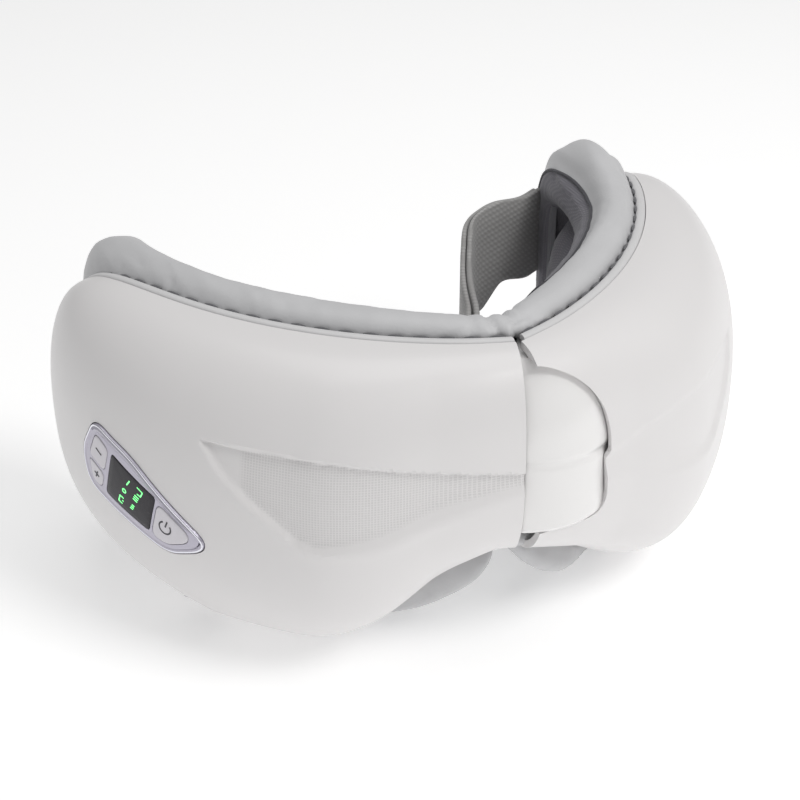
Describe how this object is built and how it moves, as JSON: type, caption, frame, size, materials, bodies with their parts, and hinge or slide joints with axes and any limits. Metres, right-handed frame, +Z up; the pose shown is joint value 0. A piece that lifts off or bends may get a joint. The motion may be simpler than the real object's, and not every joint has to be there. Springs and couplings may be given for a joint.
{
  "type": "eye massager mask",
  "caption": "Padded eye massager mask that folds at the nose bridge, with moulded shells, leatherette rims, a control panel with keys and display, and a tucked head strap.",
  "frame": {"origin": "centre of the mask's footprint, on the plane it stands on, at the rest pose", "axes": "+X to the viewer's right along the width, -Y out of the front of the mask, +Z up; the fold hinge turns about +Z"},
  "size_m": [0.1708, 0.1033, 0.0811],
  "materials": {
    "shell_white": "satin moulded plastic",
    "frame_plastic": "moulded, matt",
    "rim_leather": "soft grey leatherette over foam",
    "airbag_film": "smooth film",
    "heating_film": "printed flexible film",
    "cushion_fabric": "dark soft cover",
    "hinge_steel": "plated steel",
    "cover_gloss": "polished",
    "bezel_silver": "silver plated trim",
    "window_dark": "dark clear window",
    "button_silver": "satin silver",
    "board_green": "circuit board",
    "weight_brass": "turned",
    "speaker_black": "matt",
    "battery_wrap": "wrapped cell",
    "pump_black": "matt",
    "valve_white": "matt",
    "anchor_plastic": "matt",
    "strap_webbing": "elastic webbing"
  },
  "bodies": {
    "left_pod": {"left_outer_shell": "shell_white", "left_inner_frame": "frame_plastic", "left_rim_pad": "rim_leather", "left_airbag": "airbag_film", "left_heating_film": "heating_film", "left_eye_cushion": "cushion_fabric", "left_hinge_leaf": "hinge_steel", "left_hinge_screw_lower": "hinge_steel", "left_hinge_screw_upper": "hinge_steel", "left_vibration_motor": "hinge_steel", "left_strap_anchor": "anchor_plastic", "left_strap_run": "strap_webbing", "hinge_pin": "hinge_steel", "hinge_cover": "cover_gloss", "control_bezel": "bezel_silver", "display_window": "window_dark", "control_board": "board_green", "main_board": "board_green", "speaker": "speaker_black", "charging_port": "hinge_steel"},
    "right_pod": {"right_outer_shell": "shell_white", "right_inner_frame": "frame_plastic", "right_rim_pad": "rim_leather", "right_airbag": "airbag_film", "right_heating_film": "heating_film", "right_eye_cushion": "cushion_fabric", "right_hinge_leaf": "hinge_steel", "right_hinge_screw_lower": "hinge_steel", "right_hinge_screw_upper": "hinge_steel", "right_vibration_motor": "hinge_steel", "right_strap_anchor": "anchor_plastic", "right_strap_run": "strap_webbing", "battery": "battery_wrap", "air_pump": "pump_black", "air_valve": "valve_white"},
    "minus_key": {"minus_button": "button_silver"},
    "plus_key": {"plus_button": "button_silver"},
    "power_key": {"power_button": "button_silver"},
    "left_weight": {"left_eccentric_weight": "weight_brass"},
    "right_weight": {"right_eccentric_weight": "weight_brass"}
  },
  "joints": [
    {"name": "fold", "type": "hinge", "parent": "left_pod", "child": "right_pod", "pos_m": [0.0056, -0.02935, 0.0555], "axis": [0, 0, 1], "range_deg": [-6, 45]},
    {"name": "minus_press", "type": "slide", "parent": "left_pod", "child": "minus_key", "axis": [0.9012, 0.4333, 0.0113], "range_m": [0, 0.0005], "stiffness_N_per_m": 1000, "springref_m": -0.0003},
    {"name": "plus_press", "type": "slide", "parent": "left_pod", "child": "plus_key", "axis": [0.9012, 0.4333, 0.0113], "range_m": [0, 0.0005], "stiffness_N_per_m": 1000, "springref_m": -0.0003},
    {"name": "power_press", "type": "slide", "parent": "left_pod", "child": "power_key", "axis": [0.9012, 0.4333, 0.0113], "range_m": [0, 0.0005], "stiffness_N_per_m": 1000, "springref_m": -0.0003},
    {"name": "left_weight_spin", "type": "hinge", "parent": "left_pod", "child": "left_weight", "pos_m": [-0.07607, 0.02967, 0.055], "axis": [0, 0, 1], "continuous": true},
    {"name": "right_weight_spin", "type": "hinge", "parent": "right_pod", "child": "right_weight", "pos_m": [0.07607, 0.02967, 0.055], "axis": [0, 0, 1], "continuous": true}
  ]
}
